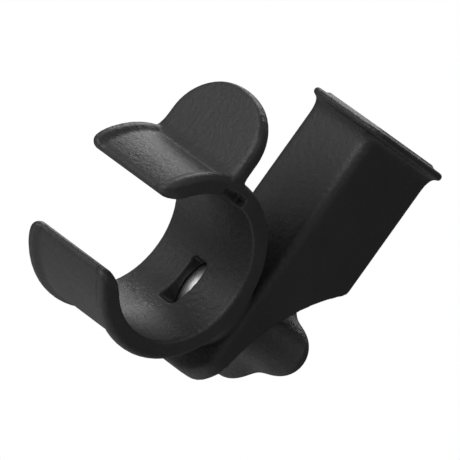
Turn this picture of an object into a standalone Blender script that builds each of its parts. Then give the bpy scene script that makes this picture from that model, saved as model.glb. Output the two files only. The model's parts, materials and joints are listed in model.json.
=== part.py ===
"""Clip-on holder: a tube clip, a swivelling square socket and the lobed knob that clamps it.

+X runs from the clip to the knob along the pivot, +Y along the clipped tube and +Z up the
socket. The origin is the centre of the tube. Sizes are in metres.
"""
import math

import bmesh
import bpy
from mathutils import Matrix, Vector

MM = 0.001
GAP = 0.3 * MM                       # clearance between pieces that meet

# Clip
TUBE_RADIUS = 25.0 * MM              # bore at the two ends of the clip
BORE_DRAFT = 1.0 * MM                # how much tighter the bore is at mid width
CLIP_WIDTH = 42.0 * MM
BAND_WALL = 5.0 * MM
BEAD_HEIGHT = 1.5 * MM               # raised rim at each end of the band
BEAD_WIDTH = 4.2 * MM
BEAD_CHAMFER = 1.8 * MM
MOUTH_GAP = 28.0 * MM                # opening between the jaw tips
TIP_ROUND = 3.2 * MM
JAW_CORNER = 8.5 * MM
TIP_BLEND = 20.0 * MM                # length over which the level tip turns radial

# Thumb tab on the upper jaw
TAB_TOP = 55.5 * MM
TAB_SHOULDER = 38.6 * MM             # height where the round top starts
TAB_HALF_WIDTH = 20.7 * MM
TAB_THICKNESS = 5.0 * MM
TAB_BACK_X = 0.2 * MM
TAB_FRONT_FILLET = 11.0 * MM
TAB_BACK_FILLET = 8.5 * MM
TAB_EDGE = 2.1 * MM

# Rim notches and saddle slot
NOTCH_WIDTH = 11.0 * MM
NOTCH_HEIGHT = 3.0 * MM
NOTCH_DEPTH = 4.5 * MM
NOTCH_X = -1.0 * MM
SLOT_WIDTH = 7.1 * MM
SLOT_HEIGHT = 16.7 * MM
SLOT_CORNER = 1.2 * MM

# Pivot line and the M8 bolt on it
PIVOT_Z = -4.0 * MM
BOLT_RADIUS = 4.0 * MM
BOLT_HEAD_RADIUS = 10.0 * MM
BOLT_HEAD_HEIGHT = 4.6 * MM
BOLT_HEAD_RIM = 0.5 * MM             # straight edge below the dome
BOLT_NECK = 2 * BOLT_RADIUS          # side of the square under the head
BOLT_NECK_LENGTH = 4.0 * MM
BOLT_LENGTH = 30.0 * MM
BOLT_TIP_CHAMFER = 1.0 * MM
HEAD_COVER = 3.2 * MM                # saddle wall in front of the dome

# Clip pad and friction disc
PAD_RADIUS = 17.0 * MM
PAD_HEIGHT = 6.5 * MM                # from the band to the pad's face
PAD_CHAMFER = 0.8 * MM
DISC_THICKNESS = 1.4 * MM
DISC_RADIUS = 16.0 * MM

# Socket
SOCKET_WIDTH = 30.5 * MM             # along Y
SOCKET_DEPTH = 34.0 * MM             # along X
SOCKET_WALL = 2.6 * MM
SOCKET_CORNER = 3.5 * MM
SOCKET_TOP = 69.3 * MM
SOCKET_BOTTOM = -28.0 * MM
FOOT_CORNER = 10.8 * MM
SIDE_SKIN = 0.02 * MM                # keeps the foot's rounding off the flat sides
FLANGE_REACH = 3.1 * MM
FLANGE_EDGE = 1.3 * MM               # radius of the flange's rounded edge
FLANGE_FILLET = 5.4 * MM
LIP_HEIGHT = 0.7 * MM
LIP_WALL = 1.3 * MM
FOOT_THICKNESS = 6.5 * MM            # thinnest place of the foot, at its bottom
THROAT_RADIUS = 60.0 * MM

# Clamp boss, bush, washer
BOSS_RADIUS = 11.5 * MM
BOSS_HEIGHT = 12.1 * MM              # from the foot's inner face
BUSH_WALL = 1.7 * MM
SEAT_SKIN = 0.02 * MM                # depth left for the boss's face to close
WASHER_THICKNESS = 1.6 * MM
WASHER_RADIUS = 8.5 * MM

# Knob
LOBE_COUNT = 3
LOBE_RADIUS = 20.0 * MM
VALLEY_RADIUS = 12.4 * MM            # between two lobes
LOBE_FULLNESS = 1.05                 # below 1 the lobes are blunter
HUB_RADIUS = 11.0 * MM
KNOB_LENGTH = 18.0 * MM
KNOB_SKIRT = 1.6 * MM                # how far the skirt reaches over the washer
FLARE_START = 1.6 * MM               # from the skirt's rim
FLARE_END = 14.2 * MM
FLARE_POWER = 1.5                    # above 1 the flare is hollow
KNOB_ROUND = 2.5 * MM
KNOB_SWING_GAP = 0.8 * MM
INSERT_LENGTH = 8.0 * MM
INSERT_WALL = 1.8 * MM
THREAD_RUNOUT = 2.0 * MM             # free bore past the bolt's tip

# Stations along X, each from the one before
OUTER_RADIUS = TUBE_RADIUS + BAND_WALL
PAD_FACE_X = OUTER_RADIUS + PAD_HEIGHT
HEAD_BASE_X = TUBE_RADIUS - BORE_DRAFT + HEAD_COVER + BOLT_HEAD_HEIGHT
BOLT_TIP_X = HEAD_BASE_X + BOLT_LENGTH
DISC_X = PAD_FACE_X + GAP
SOCKET_X = DISC_X + DISC_THICKNESS + GAP
BOSS_FACE_X = SOCKET_X + BOSS_HEIGHT
WASHER_X = BOSS_FACE_X + GAP
HUB_FACE_X = WASHER_X + WASHER_THICKNESS + GAP
KNOB_X = HUB_FACE_X - KNOB_SKIRT
KNOB_END_X = KNOB_X + KNOB_LENGTH
INSERT_X = HUB_FACE_X + GAP

PLASTIC = (0.018, 0.018, 0.019, 1.0)
STAINLESS = (0.62, 0.62, 0.61, 1.0)
BRASS = (0.68, 0.50, 0.22, 1.0)
RUBBER = (0.012, 0.012, 0.012, 1.0)
NYLON = (0.55, 0.54, 0.50, 1.0)


def clear_scene():
    for item in list(bpy.data.objects):
        bpy.data.objects.remove(item, do_unlink=True)


def make_material(name, colour, roughness, metallic):
    material = bpy.data.materials.new(name)
    material.use_nodes = True
    shader = material.node_tree.nodes["Principled BSDF"]
    shader.inputs["Base Color"].default_value = colour
    shader.inputs["Roughness"].default_value = roughness
    shader.inputs["Metallic"].default_value = metallic
    return material


def add_object(name, mesh_data):
    mesh = bpy.data.meshes.new(name)
    bmesh.ops.recalc_face_normals(mesh_data, faces=mesh_data.faces)
    mesh_data.to_mesh(mesh)
    mesh_data.free()
    item = bpy.data.objects.new(name, mesh)
    bpy.context.scene.collection.objects.link(item)
    return item


def loft(name, loops):
    """Closed solid through loops of equally many points, with flat ends."""
    data = bmesh.new()
    rings = [[data.verts.new(point) for point in loop] for loop in loops]
    count = len(rings[0])
    for lower, upper in zip(rings, rings[1:]):
        for i in range(count):
            j = (i + 1) % count
            data.faces.new((lower[i], lower[j], upper[j], upper[i]))
    data.faces.new(rings[0])
    data.faces.new(rings[-1])
    return add_object(name, data)


def lathe(name, profile, steps=48):
    """Solid turned about the pivot line from (x, radius) points; it may have a bore."""
    loops = []
    for i in range(steps):
        angle = 2 * math.pi * i / steps
        side = Vector((0, math.cos(angle), math.sin(angle)))
        loops.append([Vector((x, 0, PIVOT_Z)) + side * radius for x, radius in profile])
    data = bmesh.new()
    rings = [[data.verts.new(point) for point in loop] for loop in loops]
    count = len(profile)
    for i in range(steps):
        ring = rings[i]
        following = rings[(i + 1) % steps]
        for j in range(count):
            k = (j + 1) % count
            data.faces.new((ring[j], ring[k], following[k], following[j]))
    bmesh.ops.remove_doubles(data, verts=data.verts, dist=1e-7)
    bmesh.ops.dissolve_degenerate(data, edges=data.edges, dist=1e-8)
    return add_object(name, data)


def cylinder_x(name, start, end, radius, chamfer=0.0, steps=48):
    data = bmesh.new()
    place = Matrix.Translation(((start + end) / 2, 0, PIVOT_Z)) @ Matrix.Rotation(math.pi / 2, 4, "Y")
    bmesh.ops.create_cone(data, cap_ends=True, segments=steps, radius1=radius, radius2=radius,
                          depth=end - start, matrix=place)
    if chamfer:
        rim = [edge for edge in data.edges if all(abs(v.co.x - end) < 1e-6 for v in edge.verts)]
        bmesh.ops.bevel(data, geom=rim, offset=chamfer, segments=2, profile=0.5, affect="EDGES")
    return add_object(name, data)


def cylinder_y(name, x, z, radius, width, steps):
    data = bmesh.new()
    place = Matrix.Translation((x, 0, z)) @ Matrix.Rotation(math.pi / 2, 4, "X")
    bmesh.ops.create_cone(data, cap_ends=True, segments=steps, radius1=radius, radius2=radius,
                          depth=width, matrix=place)
    return add_object(name, data)


def box(name, low, high, round_axis=None, radius=0.0, segments=4):
    """Block between two corners, with the edges along one axis rounded if asked."""
    size = Vector(high) - Vector(low)
    middle = (Vector(high) + Vector(low)) / 2
    data = bmesh.new()
    place = Matrix.Translation(middle) @ Matrix.Diagonal((size.x, size.y, size.z, 1.0))
    bmesh.ops.create_cube(data, size=1.0, matrix=place)
    if round_axis is not None:
        along = Vector((0, 0, 0))
        along[round_axis] = 1.0
        edges = [edge for edge in data.edges
                 if abs((edge.verts[1].co - edge.verts[0].co).normalized().dot(along)) > 0.99]
        bmesh.ops.bevel(data, geom=edges, offset=radius, segments=segments, profile=0.5,
                        affect="EDGES")
    return add_object(name, data)


def combine(target, other, operation):
    """Boolean the other solid into the target and hide it as a cutter."""
    other.hide_render = True
    other.display_type = "WIRE"
    other.hide_set(True)
    modifier = target.modifiers.new(other.name, "BOOLEAN")
    modifier.operation = operation
    modifier.object = other
    modifier.solver = "EXACT"


def finish(item, material, smooth_angle=35):
    item.data.materials.clear()
    item.data.materials.append(material)
    item.data.shade_smooth()
    item.data.set_sharp_from_angle(angle=math.radians(smooth_angle))
    return item


def rounded_rectangle(low, high, corner, steps=4):
    """Counter-clockwise outline with quarter-circle corners."""
    centres = [(high[0] - corner, high[1] - corner, 0), (low[0] + corner, high[1] - corner, 90),
               (low[0] + corner, low[1] + corner, 180), (high[0] - corner, low[1] + corner, 270)]
    points = []
    for x, y, start in centres:
        for i in range(steps + 1):
            angle = math.radians(start + 90 * i / steps)
            points.append((x + corner * math.cos(angle), y + corner * math.sin(angle)))
    return points


def ease(value):
    """Smooth step from 0 to 1."""
    value = min(1.0, max(0.0, value))
    return value * value * (3 - 2 * value)


# ---- clip -------------------------------------------------------------------

def band_section():
    """Section of the clip's band as (radius, y), outer side first, from -Y to +Y."""
    end = CLIP_WIDTH / 2
    bead = OUTER_RADIUS + BEAD_HEIGHT
    half = [(bead - BEAD_CHAMFER, -end), (bead - 0.5 * BEAD_CHAMFER, -end + 0.2 * BEAD_CHAMFER),
            (bead - 0.1 * BEAD_CHAMFER, -end + 0.65 * BEAD_CHAMFER), (bead, -end + BEAD_CHAMFER),
            (bead, -end + 0.8 * BEAD_WIDTH), (OUTER_RADIUS, -end + BEAD_WIDTH + BEAD_HEIGHT)]
    outer = half + [(radius, -y) for radius, y in reversed(half)]
    tight = TUBE_RADIUS - BORE_DRAFT
    inner = [(TUBE_RADIUS + 0.4 * MM, end), (TUBE_RADIUS - 0.1 * MM, end - 0.5 * MM), (tight, 0.0),
             (TUBE_RADIUS - 0.1 * MM, -end + 0.5 * MM), (TUBE_RADIUS + 0.4 * MM, -end)]
    return outer + inner


def jaw_squeeze(distance, reach):
    """Share of the full size left at a distance from a rounded tip."""
    if distance >= reach:
        return 1.0
    share = 1.0 - distance / reach
    return math.sqrt(max(0.0, 1.0 - share * share))


def make_band():
    section = band_section()
    middle_radius = TUBE_RADIUS + BAND_WALL / 2
    half_gap = MOUTH_GAP / 2
    tip_angle = math.asin(half_gap / middle_radius)
    arc = (math.pi - tip_angle) * middle_radius
    near_tip = [TIP_ROUND * share for share in (0.0, 0.05, 0.18, 0.4, 0.7, 1.0)]
    corner = [TIP_ROUND + (JAW_CORNER - TIP_ROUND) * share for share in (0.3, 0.65, 1.0)]
    main = [corner[-1] + (arc - corner[-1]) * i / 22 for i in range(1, 23)]
    half = near_tip + corner + main
    stations = [(distance, 1) for distance in half]
    stations += [(distance, -1) for distance in reversed(half[:-1])]
    loops = []
    for distance, side in stations:
        thick = max(0.12, jaw_squeeze(distance, TIP_ROUND))
        inset = JAW_CORNER * (1 - jaw_squeeze(distance + 0.25 * JAW_CORNER, JAW_CORNER))
        wide = 1 - inset / (CLIP_WIDTH / 2)
        loop = []
        for radius, y in section:
            reach = middle_radius + (radius - middle_radius) * thick
            slant = math.asin(half_gap / reach) - tip_angle
            fade = 1 - ease(distance / TIP_BLEND)
            angle = tip_angle + distance / middle_radius + slant * fade
            loop.append((-reach * math.cos(angle), y * wide, side * reach * math.sin(angle)))
        loops.append(loop)
    return loft("clip_body", loops)


def tab_sides(z):
    """Front and back X of the tab at a height."""
    lower = TAB_SHOULDER - 3.0 * MM
    thin = 0.7 * MM * ease((z - lower) / (TAB_TOP - lower))
    front = TAB_BACK_X - TAB_THICKNESS - 0.8 * MM + thin
    back = TAB_BACK_X
    if z < lower:
        drop = lower - z
        front_share = min(drop, TAB_FRONT_FILLET)
        front -= TAB_FRONT_FILLET - math.sqrt(TAB_FRONT_FILLET ** 2 - front_share ** 2)
        back_share = max(0.0, min(drop - 1.5 * MM, TAB_BACK_FILLET))
        back += TAB_BACK_FILLET - math.sqrt(TAB_BACK_FILLET ** 2 - back_share ** 2)
    return front, back


def make_tab():
    lowest = TUBE_RADIUS + 1.2 * MM
    rise = TAB_TOP - TAB_SHOULDER
    straight = [lowest + (TAB_SHOULDER - lowest) * i / 9 for i in range(10)]
    crown = [TAB_SHOULDER + rise * math.sin(math.pi / 2 * i / 12) for i in range(1, 13)]
    loops = []
    for z in straight + crown:
        share = max(0.0, (z - TAB_SHOULDER) / rise)
        half = max(0.8 * MM, TAB_HALF_WIDTH * math.sqrt(max(0.0, 1 - share * share)))
        front, back = tab_sides(z)
        top_fade = jaw_squeeze(TAB_TOP - z, TAB_EDGE)
        centre = (front + back) / 2
        thick = max(0.35 * MM, (back - front) / 2 * (0.3 + 0.7 * top_fade))
        edge = min(TAB_EDGE, 0.92 * thick, 0.92 * half)
        outline = rounded_rectangle((centre - thick, -half), (centre + thick, half), edge)
        loops.append([(x, y, z) for x, y in outline])
    return loft("tab_blank", loops)


def make_pad():
    pad = cylinder_x("pad_blank", TUBE_RADIUS - 9 * MM, PAD_FACE_X, PAD_RADIUS, PAD_CHAMFER)
    bore = cylinder_y("pad_bore", 0, 0, TUBE_RADIUS + 0.4 * BAND_WALL, 2 * CLIP_WIDTH, 64)
    combine(pad, bore, "DIFFERENCE")
    return pad


def dome_profile(base_x, height, radius, steps=8):
    """Points of a domed head from its apex to its rim."""
    sphere = (radius ** 2 + height ** 2) / (2 * height)
    widest = math.asin(min(1.0, radius / sphere))
    return [(base_x - height + sphere * (1 - math.cos(widest * i / steps)),
             sphere * math.sin(widest * i / steps)) for i in range(steps + 1)]


def make_head_pocket():
    wall = BOLT_HEAD_RADIUS + GAP
    profile = dome_profile(HEAD_BASE_X - BOLT_HEAD_RIM, BOLT_HEAD_HEIGHT - BOLT_HEAD_RIM + GAP, wall)
    return lathe("head_pocket", profile + [(HEAD_BASE_X + GAP, wall), (HEAD_BASE_X + GAP, 0.0)])


def make_clip(material):
    clip = make_band()
    combine(clip, make_tab(), "UNION")
    combine(clip, make_pad(), "UNION")
    end = CLIP_WIDTH / 2
    top = TUBE_RADIUS + NOTCH_HEIGHT
    for side, name in ((-1, "near"), (1, "far")):
        ys = sorted((side * (end - NOTCH_DEPTH), side * (end + 5 * MM)))
        notch = box("notch_" + name, (NOTCH_X - NOTCH_WIDTH / 2, ys[0], TUBE_RADIUS - 9 * MM),
                    (NOTCH_X + NOTCH_WIDTH / 2, ys[1], top), 1, 0.6 * MM, 2)
        combine(clip, notch, "DIFFERENCE")
    slot = box("saddle_slot", (TUBE_RADIUS - 8 * MM, -SLOT_WIDTH / 2, PIVOT_Z - SLOT_HEIGHT / 2),
               (HEAD_BASE_X - 0.35 * BOLT_HEAD_HEIGHT, SLOT_WIDTH / 2, PIVOT_Z + SLOT_HEIGHT / 2),
               0, SLOT_CORNER, 3)
    combine(clip, slot, "DIFFERENCE")
    combine(clip, make_head_pocket(), "DIFFERENCE")
    neck = BOLT_NECK / 2 + GAP
    hole = box("neck_hole", (HEAD_BASE_X - 1 * MM, -neck, PIVOT_Z - neck),
               (PAD_FACE_X + 2 * MM, neck, PIVOT_Z + neck), 0, 0.6 * MM, 2)
    combine(clip, hole, "DIFFERENCE")
    return finish(clip, material)


def make_bolt(material):
    dome = dome_profile(HEAD_BASE_X - BOLT_HEAD_RIM, BOLT_HEAD_HEIGHT - BOLT_HEAD_RIM,
                        BOLT_HEAD_RADIUS)
    profile = dome + [(HEAD_BASE_X, BOLT_HEAD_RADIUS), (HEAD_BASE_X, BOLT_RADIUS),
                      (BOLT_TIP_X - BOLT_TIP_CHAMFER, BOLT_RADIUS),
                      (BOLT_TIP_X, BOLT_RADIUS - BOLT_TIP_CHAMFER), (BOLT_TIP_X, 0.0)]
    bolt = lathe("clamp_bolt", profile)
    half = BOLT_NECK / 2
    neck = box("bolt_neck", (HEAD_BASE_X - 0.6 * MM, -half, PIVOT_Z - half),
               (HEAD_BASE_X + BOLT_NECK_LENGTH, half, PIVOT_Z + half), 0, 0.5 * MM, 2)
    combine(bolt, neck, "UNION")
    return finish(bolt, material)


def make_ring(name, material, start, thickness, inner, outer, chamfer):
    end = start + thickness
    profile = [(start, inner), (start, outer - chamfer), (start + chamfer, outer),
               (end - chamfer, outer), (end, outer - chamfer), (end, inner)]
    return finish(lathe(name, profile), material)


# ---- socket -----------------------------------------------------------------

def socket_loop(z, grow, steps=4):
    corner = max(0.6 * MM, SOCKET_CORNER + grow)
    outline = rounded_rectangle((SOCKET_X - grow, -SOCKET_WIDTH / 2 - grow),
                                (SOCKET_X + SOCKET_DEPTH + grow, SOCKET_WIDTH / 2 + grow),
                                corner, steps)
    return [(x, y, z) for x, y in outline]


def socket_profile():
    """Height and outward growth of the socket's outside, bottom to top."""
    edge_middle = SOCKET_TOP - FLANGE_EDGE
    fillet_start = edge_middle - FLANGE_EDGE - FLANGE_FILLET
    fillet_reach = FLANGE_REACH - FLANGE_EDGE
    points = [(SOCKET_BOTTOM - 5 * MM, 0.0), (fillet_start, 0.0)]
    for i in range(1, 6):
        angle = math.pi / 2 * i / 6
        points.append((fillet_start + FLANGE_FILLET * math.sin(angle),
                       fillet_reach * (1 - math.cos(angle))))
    for i in range(7):
        angle = -math.pi / 2 + math.pi * i / 6
        points.append((edge_middle + FLANGE_EDGE * math.sin(angle),
                       fillet_reach + FLANGE_EDGE * math.cos(angle)))
    lip_outside = LIP_WALL - SOCKET_WALL
    points += [(SOCKET_TOP, lip_outside), (SOCKET_TOP + 0.7 * LIP_HEIGHT, lip_outside),
               (SOCKET_TOP + LIP_HEIGHT, lip_outside - 0.3 * LIP_HEIGHT)]
    return points


def make_foot_shape():
    """Prism that rounds the lower corners of the foot and its bottom edges."""
    reach = 40 * MM
    half = SOCKET_WIDTH / 2 + SIDE_SKIN
    wide = half + 10 * MM
    outline = rounded_rectangle((-half, SOCKET_BOTTOM), (half, reach), FOOT_CORNER, 8)
    upper = [point for point in outline if point[1] < reach - FOOT_CORNER - 1e-6]
    upper = [(wide, reach * 3), (-wide, reach * 3), (-wide, 0.0), (-half, 0.0)] + upper
    upper += [(half, 0.0), (wide, 0.0)]
    loops = []
    for x, shrink in ((-9 * MM, 1.8 * MM), (0.0, 1.8 * MM), (0.5 * MM, 0.7 * MM), (1.8 * MM, 0.0),
                      (SOCKET_DEPTH + 9 * MM, 0.0)):
        loop = []
        for y, z in upper:
            if z < -1 * MM:
                away = Vector((y, z - (SOCKET_BOTTOM + FOOT_CORNER))).normalized() * shrink
                y, z = y - away.x * 0.6, z - away.y
            loop.append((SOCKET_X + x, y, z))
        loops.append(loop)
    return loft("foot_shape", loops)


def make_cavity():
    """Inside of the socket, with a floor that keeps one wall above the throat."""
    low_x = SOCKET_X + SOCKET_WALL
    high_x = SOCKET_X + SOCKET_DEPTH - SOCKET_WALL
    half = SOCKET_WIDTH / 2 - SOCKET_WALL
    top = SOCKET_TOP + 6 * MM
    centre_x = SOCKET_X + FOOT_THICKNESS + THROAT_RADIUS
    floor_radius = THROAT_RADIUS + 1.4 * SOCKET_WALL
    lowest = PIVOT_Z + BOSS_RADIUS + SOCKET_WALL
    cavity = box("socket_cavity", (low_x, -half, lowest), (high_x, half, top), 2, 1.6 * MM, 3)
    floor = cylinder_y("cavity_floor", centre_x, SOCKET_BOTTOM, floor_radius, 80 * MM, 160)
    combine(cavity, floor, "DIFFERENCE")
    combine(cavity, swing_space("cavity_hub", KNOB_SWING_GAP + SOCKET_WALL, SOCKET_WALL), "DIFFERENCE")
    return cavity


def make_socket(material):
    socket = loft("socket_body", [socket_loop(z, grow) for z, grow in socket_profile()])
    throat = cylinder_y("throat", SOCKET_X + FOOT_THICKNESS + THROAT_RADIUS, SOCKET_BOTTOM,
                        THROAT_RADIUS, 70 * MM, 144)
    combine(socket, make_foot_shape(), "INTERSECT")
    combine(socket, throat, "DIFFERENCE")
    boss = cylinder_x("clamp_boss", SOCKET_X + 0.5 * FOOT_THICKNESS, BOSS_FACE_X, BOSS_RADIUS,
                      0.6 * MM)
    combine(socket, swing_space("knob_swing", KNOB_SWING_GAP, -SEAT_SKIN), "DIFFERENCE")
    combine(socket, boss, "UNION")
    combine(socket, make_cavity(), "DIFFERENCE")
    bore_radius = BOLT_RADIUS + GAP + BUSH_WALL + GAP
    bore = cylinder_x("pivot_bore", SOCKET_X - 5 * MM, BOSS_FACE_X + 5 * MM, bore_radius)
    combine(socket, bore, "DIFFERENCE")
    return finish(socket, material)


# ---- knob -------------------------------------------------------------------

def lobe_share(x):
    """How far the lobes have grown at a station, from 0 at the hub to 1."""
    share = (x - KNOB_X - FLARE_START) / (FLARE_END - FLARE_START)
    return min(max(share, 0.0), 1.0) ** FLARE_POWER


def swept_radius(x):
    return HUB_RADIUS + (LOBE_RADIUS - HUB_RADIUS) * lobe_share(x)


def swing_space(name, clearance, below):
    """Turned solid that the knob sweeps, grown by a clearance."""
    start = BOSS_FACE_X - below
    stations = [KNOB_X + FLARE_END * i / 8 for i in range(2, 9)]
    profile = [(start, 0.0), (start, HUB_RADIUS + clearance)]
    profile += [(x, swept_radius(x) + clearance) for x in stations]
    far = KNOB_END_X + 20 * MM
    profile += [(far, LOBE_RADIUS + clearance), (far, 0.0)]
    return lathe(name, profile, 64)


def knob_loop(x, inset, steps=72):
    """Outline across the pivot line: a circle at the hub, lobes further out."""
    share = lobe_share(x)
    low = HUB_RADIUS + (VALLEY_RADIUS - HUB_RADIUS) * share
    loop = []
    for i in range(steps):
        angle = 2 * math.pi * i / steps
        wave = (0.5 + 0.5 * math.cos(LOBE_COUNT * (angle - math.pi))) ** LOBE_FULLNESS
        radius = low + (LOBE_RADIUS - low) * share * wave - inset
        loop.append((x, radius * math.cos(angle), PIVOT_Z + radius * math.sin(angle)))
    return loop


def make_knob(material):
    """Round skirt that flares into three lobes with a rounded outer edge."""
    loops = [knob_loop(KNOB_X, 0.4 * MM), knob_loop(KNOB_X + 0.4 * MM, 0.0)]
    loops += [knob_loop(KNOB_X + FLARE_START + (FLARE_END - FLARE_START) * i / 8, 0.0)
              for i in range(9)]
    straight_end = KNOB_END_X - KNOB_ROUND
    for i in range(6):
        angle = math.pi / 2 * i / 6
        loops.append(knob_loop(straight_end + KNOB_ROUND * math.sin(angle),
                               KNOB_ROUND * (1 - math.cos(angle))))
    loops.append(knob_loop(KNOB_END_X, 1.25 * KNOB_ROUND))
    knob = loft("knob_body", loops)
    recess = cylinder_x("washer_recess", KNOB_X - 2 * MM, HUB_FACE_X, WASHER_RADIUS + 2 * GAP)
    combine(knob, recess, "DIFFERENCE")
    insert_radius = BOLT_RADIUS + GAP + INSERT_WALL + GAP
    seat = cylinder_x("insert_seat", HUB_FACE_X - 2 * MM, INSERT_X + INSERT_LENGTH + GAP,
                      insert_radius)
    combine(knob, seat, "DIFFERENCE")
    relief = cylinder_x("thread_relief", HUB_FACE_X, BOLT_TIP_X + THREAD_RUNOUT,
                        BOLT_RADIUS + GAP, 0.0, 32)
    combine(knob, relief, "DIFFERENCE")
    return finish(knob, material, 50)


def main():
    clear_scene()
    black = make_material("black_nylon", PLASTIC, 0.5, 0.0)
    black_socket = make_material("black_nylon_socket", PLASTIC, 0.52, 0.0)
    black_knob = make_material("black_nylon_knob", PLASTIC, 0.5, 0.0)
    steel = make_material("stainless_bolt", STAINLESS, 0.2, 1.0)
    washer_steel = make_material("stainless_washer", STAINLESS, 0.35, 1.0)
    brass = make_material("brass_insert", BRASS, 0.35, 1.0)
    rubber = make_material("rubber_disc", RUBBER, 0.85, 0.0)
    nylon = make_material("natural_nylon_bush", NYLON, 0.5, 0.0)

    hole = BOLT_RADIUS + GAP
    make_clip(black)
    make_bolt(steel)
    make_ring("friction_disc", rubber, DISC_X, DISC_THICKNESS, hole, DISC_RADIUS, 0.25 * MM)
    socket = make_socket(black_socket)
    bush = make_ring("pivot_bush", nylon, SOCKET_X, BOSS_HEIGHT, hole, hole + BUSH_WALL, 0.3 * MM)
    washer = make_ring("clamp_washer", washer_steel, WASHER_X, WASHER_THICKNESS, hole,
                       WASHER_RADIUS, 0.25 * MM)
    knob = make_knob(black_knob)
    insert = make_ring("knob_insert", brass, INSERT_X, INSERT_LENGTH, hole, hole + INSERT_WALL,
                       0.4 * MM)

    for group, members in (("socket_pivot", (socket, bush)), ("knob_pivot", (washer, knob, insert))):
        pivot = bpy.data.objects.new(group, None)
        pivot.location = (SOCKET_X, 0, PIVOT_Z)
        bpy.context.scene.collection.objects.link(pivot)
        bpy.context.view_layer.update()
        for member in members:
            member.parent = pivot
            member.matrix_parent_inverse = pivot.matrix_world.inverted()


main()
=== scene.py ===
import json
import math

import bpy
from mathutils import Matrix, Vector

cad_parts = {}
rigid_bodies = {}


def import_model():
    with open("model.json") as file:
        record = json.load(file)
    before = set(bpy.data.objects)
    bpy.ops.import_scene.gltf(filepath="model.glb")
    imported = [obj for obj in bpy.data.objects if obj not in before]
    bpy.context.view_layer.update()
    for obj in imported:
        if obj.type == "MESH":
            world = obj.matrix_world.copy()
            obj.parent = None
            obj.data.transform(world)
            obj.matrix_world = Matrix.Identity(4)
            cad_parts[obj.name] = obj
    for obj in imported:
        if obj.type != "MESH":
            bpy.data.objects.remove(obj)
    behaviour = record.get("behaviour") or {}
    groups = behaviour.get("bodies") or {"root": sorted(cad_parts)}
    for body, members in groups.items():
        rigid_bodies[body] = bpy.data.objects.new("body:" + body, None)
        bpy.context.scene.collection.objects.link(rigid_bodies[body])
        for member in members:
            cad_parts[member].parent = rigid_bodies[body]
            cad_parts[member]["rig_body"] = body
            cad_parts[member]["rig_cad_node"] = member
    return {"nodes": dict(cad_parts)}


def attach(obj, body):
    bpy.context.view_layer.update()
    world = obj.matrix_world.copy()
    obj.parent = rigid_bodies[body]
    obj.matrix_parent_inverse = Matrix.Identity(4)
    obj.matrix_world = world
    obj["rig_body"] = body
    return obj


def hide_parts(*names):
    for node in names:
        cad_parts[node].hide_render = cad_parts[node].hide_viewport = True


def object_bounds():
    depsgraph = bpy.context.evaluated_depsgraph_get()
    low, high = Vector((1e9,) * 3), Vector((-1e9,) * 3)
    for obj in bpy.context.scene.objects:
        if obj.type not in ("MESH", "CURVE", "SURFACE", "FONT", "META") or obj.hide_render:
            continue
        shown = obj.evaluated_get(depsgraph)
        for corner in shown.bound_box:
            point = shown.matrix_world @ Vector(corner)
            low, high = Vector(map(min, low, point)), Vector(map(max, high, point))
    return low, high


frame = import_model()
cadBox = [list(corner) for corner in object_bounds()]
nodes = frame["nodes"]
scene = bpy.context.scene
mergeDistance = 0.000004
print("frame loaded")


def clearSelection():
    bpy.ops.object.select_all(action="DESELECT")


def useOnly(item):
    clearSelection()
    item.select_set(True)
    bpy.context.view_layer.objects.active = item


def applyAll(item):
    useOnly(item)
    for modifier in list(item.modifiers):
        bpy.ops.object.modifier_apply(modifier=modifier.name)


def copyNode(node, name):  # a merged copy of a frame piece, free to be shaped
    item = nodes[node].copy()
    item.data = nodes[node].data.copy()
    item.name = name
    item.parent = None
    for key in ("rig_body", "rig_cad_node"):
        if key in item:
            del item[key]
    scene.collection.objects.link(item)
    item.data.materials.clear()
    useOnly(item)
    bpy.ops.object.mode_set(mode="EDIT")
    bpy.ops.mesh.select_all(action="SELECT")
    bpy.ops.mesh.remove_doubles(threshold=mergeDistance)
    bpy.ops.object.mode_set(mode="OBJECT")
    return item


def newMaterial(name):
    material = bpy.data.materials.new(name)
    material.use_nodes = True
    tree = material.node_tree
    return material, tree, tree.nodes["Principled BSDF"]


def objectCoordinates(tree, scale=(1.0, 1.0, 1.0)):
    place = tree.nodes.new("ShaderNodeTexCoord")
    mapping = tree.nodes.new("ShaderNodeMapping")
    mapping.inputs["Scale"].default_value = scale
    tree.links.new(place.outputs["Object"], mapping.inputs["Vector"])
    return mapping.outputs["Vector"]


def noise(tree, vector, scale, detail=2.0, roughness=0.5, distortion=0.0):
    node = tree.nodes.new("ShaderNodeTexNoise")
    node.inputs["Scale"].default_value = scale
    node.inputs["Detail"].default_value = detail
    node.inputs["Roughness"].default_value = roughness
    node.inputs["Distortion"].default_value = distortion
    tree.links.new(vector, node.inputs["Vector"])
    return node.outputs["Fac"]


def spread(tree, value, low, high, lowOut, highOut):
    node = tree.nodes.new("ShaderNodeMapRange")
    for socket, number in zip(("From Min", "From Max", "To Min", "To Max"),
                              (low, high, lowOut, highOut)):
        node.inputs[socket].default_value = number
    tree.links.new(value, node.inputs["Value"])
    return node.outputs["Result"]


def combine(tree, kind, first, second):
    node = tree.nodes.new("ShaderNodeMath")
    node.operation = kind
    for index, value in enumerate((first, second)):
        if isinstance(value, (int, float)):
            node.inputs[index].default_value = value
        else:
            tree.links.new(value, node.inputs[index])
    return node.outputs["Value"]


def blendColour(tree, factor, first, second):
    node = tree.nodes.new("ShaderNodeMix")
    node.data_type = "RGBA"
    tree.links.new(factor, node.inputs["Factor"])
    for socket, colour in (("A", first), ("B", second)):
        target = [entry for entry in node.inputs if entry.name == socket and entry.type == "RGBA"][0]
        if isinstance(colour, tuple):
            target.default_value = colour
        else:
            tree.links.new(colour, target)
    return [entry for entry in node.outputs if entry.type == "RGBA"][0]


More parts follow.
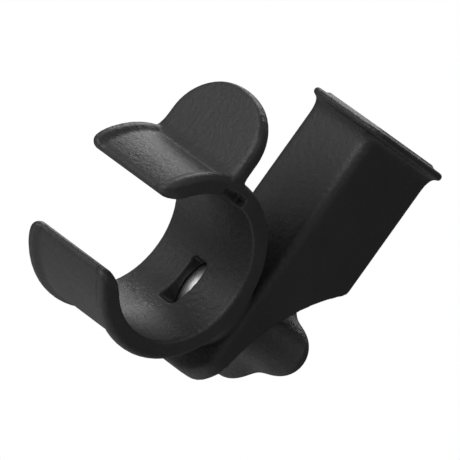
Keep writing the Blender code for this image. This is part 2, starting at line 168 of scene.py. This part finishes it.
def addBump(tree, shader, height, distance, strength=1.0, after=None):
    bump = tree.nodes.new("ShaderNodeBump")
    bump.inputs["Distance"].default_value = distance
    bump.inputs["Strength"].default_value = strength
    tree.links.new(height, bump.inputs["Height"])
    if after is not None:
        tree.links.new(after, bump.inputs["Normal"])
    tree.links.new(bump.outputs["Normal"], shader.inputs["Normal"])
    return bump.outputs["Normal"]


def edgeMask(tree, radius):  # 1 on sharp edges, 0 on flats
    bevel = tree.nodes.new("ShaderNodeBevel")
    bevel.samples = 6
    bevel.inputs["Radius"].default_value = radius
    geometry = tree.nodes.new("ShaderNodeNewGeometry")
    dot = tree.nodes.new("ShaderNodeVectorMath")
    dot.operation = "DOT_PRODUCT"
    tree.links.new(bevel.outputs["Normal"], dot.inputs[0])
    tree.links.new(geometry.outputs["Normal"], dot.inputs[1])
    return spread(tree, dot.outputs["Value"], 0.995, 0.93, 0.0, 1.0)


def mouldedPlastic(name, settings):
    material, tree, shader = newMaterial(name)
    vector = objectCoordinates(tree)
    fine = noise(tree, vector, settings["grainScale"], 3.0, 0.6)
    coarse = noise(tree, vector, settings["grainScale"] * 0.42, 2.0, 0.5)
    cloud = noise(tree, vector, settings["cloudScale"], 3.0, 0.55)
    scuffVector = objectCoordinates(tree, settings["scuffStretch"])
    scuff = noise(tree, scuffVector, settings["scuffScale"], 4.0, 0.65, 1.6)
    scuffLine = spread(tree, scuff, 0.66, 0.74, 0.0, settings["scuffAmount"])
    # sharp edges are lightened: partly real edge wear, partly a painted highlight along the edges
    edge = edgeMask(tree, settings["edgeRadius"])
    edgeWearAndHighlight = combine(tree, "MULTIPLY", edge, spread(tree, cloud, 0.35, 0.65, 0.2, 1.0))
    edgeWearAndHighlight = combine(tree, "MULTIPLY", edgeWearAndHighlight, settings["edgeWearAndHighlightAmount"])
    base = blendColour(tree, spread(tree, cloud, 0.3, 0.7, 0.0, 1.0), settings["dark"], settings["light"])
    speck = blendColour(tree, spread(tree, fine, 0.58, 0.75, 0.0, 0.5), base, settings["speck"])
    rubbedAndHighlight = combine(tree, "MAXIMUM", edgeWearAndHighlight, scuffLine)
    # the lighter edge and scuff colour: real scuffs and wear, plus the painted edge highlight
    wornAndHighlight = blendColour(tree, rubbedAndHighlight, speck, settings["wornAndHighlight"])
    tree.links.new(wornAndHighlight, shader.inputs["Base Color"])
    rough = spread(tree, cloud, 0.25, 0.75, settings["roughLow"], settings["roughHigh"])
    rough = combine(tree, "ADD", rough, spread(tree, fine, 0.3, 0.7, -0.04, 0.05))
    tree.links.new(rough, shader.inputs["Roughness"])
    shader.inputs["Specular IOR Level"].default_value = settings["specular"]
    height = combine(tree, "ADD", combine(tree, "MULTIPLY", fine, 0.6), coarse)
    first = addBump(tree, shader, height, settings["grainDepth"], 1.0)
    addBump(tree, shader, cloud, settings["sinkDepth"], 1.0, first)
    return material


def satinSteel(name, settings):
    material, tree, shader = newMaterial(name)
    vector = objectCoordinates(tree, settings["brushStretch"])
    line = noise(tree, vector, settings["brushScale"], 4.0, 0.7)
    cloud = noise(tree, objectCoordinates(tree), settings["cloudScale"], 2.0)
    tint = blendColour(tree, cloud, settings["dark"], settings["light"])
    tree.links.new(tint, shader.inputs["Base Color"])
    shader.inputs["Metallic"].default_value = 1.0
    rough = spread(tree, line, 0.3, 0.7, settings["roughLow"], settings["roughHigh"])
    tree.links.new(rough, shader.inputs["Roughness"])
    addBump(tree, shader, line, settings["brushDepth"])
    return material


def turnedBrass(name, settings):
    material, tree, shader = newMaterial(name)
    line = noise(tree, objectCoordinates(tree, settings["grooveStretch"]), settings["grooveScale"], 3.0, 0.6)
    tint = blendColour(tree, line, settings["dark"], settings["light"])
    tree.links.new(tint, shader.inputs["Base Color"])
    shader.inputs["Metallic"].default_value = 1.0
    rough = spread(tree, line, 0.3, 0.7, settings["roughLow"], settings["roughHigh"])
    tree.links.new(rough, shader.inputs["Roughness"])
    addBump(tree, shader, line, settings["grooveDepth"])
    return material


def softMaterial(name, settings):
    material, tree, shader = newMaterial(name)
    mark = noise(tree, objectCoordinates(tree), settings["grainScale"], 3.0, 0.6)
    tint = blendColour(tree, mark, settings["dark"], settings["light"])
    tree.links.new(tint, shader.inputs["Base Color"])
    rough = spread(tree, mark, 0.3, 0.7, settings["roughLow"], settings["roughHigh"])
    tree.links.new(rough, shader.inputs["Roughness"])
    addBump(tree, shader, mark, settings["grainDepth"])
    return material


clipPlastic = {
    "dark": (0.0165, 0.0162, 0.0168, 1.0), "light": (0.0225, 0.0221, 0.0228, 1.0),
    "speck": (0.046, 0.045, 0.046, 1.0), "wornAndHighlight": (0.060, 0.059, 0.060, 1.0),
    "grainScale": 1400.0, "grainDepth": 0.000240, "cloudScale": 70.0, "sinkDepth": 0.00035,
    "scuffStretch": (1.0, 0.35, 1.0), "scuffScale": 160.0, "scuffAmount": 0.30,
    # the edge amount and the light edge colour carry edge wear plus a painted edge highlight
    "edgeRadius": 0.0007, "edgeWearAndHighlightAmount": 0.55, "roughLow": 0.44, "roughHigh": 0.56, "specular": 0.5,
}
socketPlastic = dict(clipPlastic, cloudScale=45.0, grainScale=1500.0, grainDepth=0.000200,
                     scuffStretch=(1.0, 1.0, 0.3), scuffAmount=0.12,
                     dark=(0.0140, 0.0140, 0.0146, 1.0), light=(0.0190, 0.0190, 0.0196, 1.0))
knobPlastic = dict(clipPlastic, grainScale=1150.0, grainDepth=0.000380, scuffAmount=0.12,
                   roughLow=0.46, roughHigh=0.60)
print("materials ready")


def mouldShell(node, name, shape, body, material):
    item = copyNode(node, name)
    remesh = item.modifiers.new("fine", "REMESH")
    remesh.mode = "VOXEL"
    remesh.voxel_size = shape["voxel"]
    remesh.use_smooth_shade = True
    relax = item.modifiers.new("relax", "SMOOTH")
    relax.factor = shape["relaxFactor"]
    relax.iterations = shape["relaxSteps"]
    applyAll(item)
    useOnly(item)
    bpy.ops.object.shade_smooth()
    item.data.materials.append(material)
    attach(item, body)
    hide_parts(node)
    print(name, "has", len(item.data.polygons), "faces")


clipShape = {"voxel": 0.00050, "relaxFactor": 0.5, "relaxSteps": 4}
socketShape = {"voxel": 0.00052, "relaxFactor": 0.5, "relaxSteps": 3}
knobShape = {"voxel": 0.00036, "relaxFactor": 0.5, "relaxSteps": 4}

mouldShell("clip_body", "tubeClip", clipShape, "clip",
           mouldedPlastic("clipPlastic", clipPlastic))
mouldShell("socket_body", "flangedSocket", socketShape, "socket",
           mouldedPlastic("socketPlastic", socketPlastic))
mouldShell("knob_body", "lobedKnob", knobShape, "knob",
           mouldedPlastic("knobPlastic", knobPlastic))


creaseAngle = math.radians(35.0)


def smoothCopy(node, name, body, material):
    item = copyNode(node, name)
    useOnly(item)
    bpy.ops.object.shade_smooth_by_angle(angle=creaseAngle)
    item.data.materials.append(material)
    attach(item, body)
    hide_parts(node)


boltFinish = {
    "dark": (0.80, 0.80, 0.79, 1.0), "light": (0.92, 0.92, 0.91, 1.0), "cloudScale": 120.0,
    "brushStretch": (1.0, 1.0, 1.0), "brushScale": 900.0, "brushDepth": 0.000008,
    "roughLow": 0.40, "roughHigh": 0.48,
}
smoothCopy("clamp_bolt", "coachBolt", "clip", satinSteel("boltSteel", boltFinish))

washerFinish = dict(boltFinish, brushStretch=(1.0, 4.0, 0.5), roughLow=0.24, roughHigh=0.38)
smoothCopy("clamp_washer", "clampWasher", "washer",
           satinSteel("washerSteel", washerFinish))

discFinish = {
    "dark": (0.010, 0.010, 0.010, 1.0), "light": (0.018, 0.018, 0.018, 1.0),
    "roughLow": 0.76, "roughHigh": 0.88, "grainScale": 900.0, "grainDepth": 0.00005,
}
smoothCopy("friction_disc", "frictionDisc", "clip",
           softMaterial("discRubber", discFinish))

bushFinish = {
    "dark": (0.48, 0.47, 0.42, 1.0), "light": (0.60, 0.59, 0.55, 1.0),
    "roughLow": 0.40, "roughHigh": 0.52, "grainScale": 500.0, "grainDepth": 0.00002,
}
smoothCopy("pivot_bush", "pivotBush", "socket",
           softMaterial("bushNylon", bushFinish))

insertFinish = {
    "dark": (0.50, 0.34, 0.13, 1.0), "light": (0.74, 0.56, 0.27, 1.0),
    "grooveStretch": (6.0, 0.6, 0.6), "grooveScale": 700.0, "grooveDepth": 0.00002,
    "roughLow": 0.26, "roughHigh": 0.42,
}
smoothCopy("knob_insert", "threadInsert", "knob",
           turnedBrass("turnedBrass", insertFinish))
print("hardware ready")


view = {
    "right": Vector((0.5773, -0.5743, 0.5805)),
    "up": Vector((-0.4012, 0.4197, 0.8142)),
    "target": Vector((0.00719, -0.01929, 0.01731)),
    "distance": 3.3,
    "width": 0.14176,
}
viewBack = view["right"].cross(view["up"]).normalized()
viewRight = view["up"].cross(viewBack).normalized()
viewUp = viewBack.cross(viewRight).normalized()


def fromView(right, up, back):
    return view["target"] + viewRight * right + viewUp * up + viewBack * back


def addCamera():
    data = bpy.data.cameras.new("camera")
    camera = bpy.data.objects.new("camera", data)
    scene.collection.objects.link(camera)
    turn = Matrix((viewRight, viewUp, viewBack)).transposed().to_4x4()
    camera.matrix_world = Matrix.Translation(fromView(0, 0, view["distance"])) @ turn
    data.sensor_width = 36.0
    data.lens = data.sensor_width * view["distance"] / view["width"]
    data.clip_end = 100.0
    scene.camera = camera


def addSoftbox(name, place, size, power):
    data = bpy.data.lights.new(name, "AREA")
    data.shape = "RECTANGLE"
    data.size, data.size_y = size
    data.energy = power
    light = bpy.data.objects.new(name, data)
    scene.collection.objects.link(light)
    light.location = place
    light.rotation_euler = (view["target"] - place).to_track_quat("-Z", "Y").to_euler()


def addWorld(glow, shown):
    world = bpy.data.worlds.new("studio")
    scene.world = world
    world.use_nodes = True
    tree = world.node_tree
    background = tree.nodes["Background"]
    rays = tree.nodes.new("ShaderNodeLightPath")
    strength = spread(tree, rays.outputs["Is Camera Ray"], 0.0, 1.0, glow, shown)
    tree.links.new(strength, background.inputs["Strength"])
    background.inputs["Color"].default_value = (1.0, 1.0, 1.0, 1.0)


def addFloor(depth, reach):
    clearSelection()
    low = cadBox[0][2] - depth
    bpy.ops.mesh.primitive_plane_add(size=reach, location=(0, 0, low))
    floor = bpy.context.object
    floor.name = "floor"
    bpy.ops.object.transform_apply(location=True, rotation=True, scale=True)
    material, tree, shader = newMaterial("paleFloor")
    shader.inputs["Base Color"].default_value = (0.9, 0.9, 0.9, 1.0)
    shader.inputs["Roughness"].default_value = 0.7
    floor.data.materials.append(material)


studio = {
    "worldGlow": 0.12, "backdropGlow": 1.0, "floorDepth": 0.45, "floorReach": 1.4,
    "keyLight": {"place": fromView(-0.55, 0.75, 0.75), "size": (0.9, 0.9), "power": 9.6},
    "fillLight": {"place": fromView(0.9, 0.3, 0.9), "size": (1.0, 1.0), "power": 3.0},
    "rimLight": {"place": fromView(0.3, 0.9, -0.7), "size": (0.9, 0.5), "power": 8.0},
    "boltLight": {"place": Vector((-0.66, 0.70, 0.035)), "size": (0.5, 0.5), "power": 0.9},
}
addCamera()
addWorld(studio["worldGlow"], studio["backdropGlow"])
addFloor(studio["floorDepth"], studio["floorReach"])
for name in ("keyLight", "fillLight", "rimLight", "boltLight"):
    addSoftbox(name, **studio[name])
scene.view_settings.view_transform = "Standard"
print("stage ready")
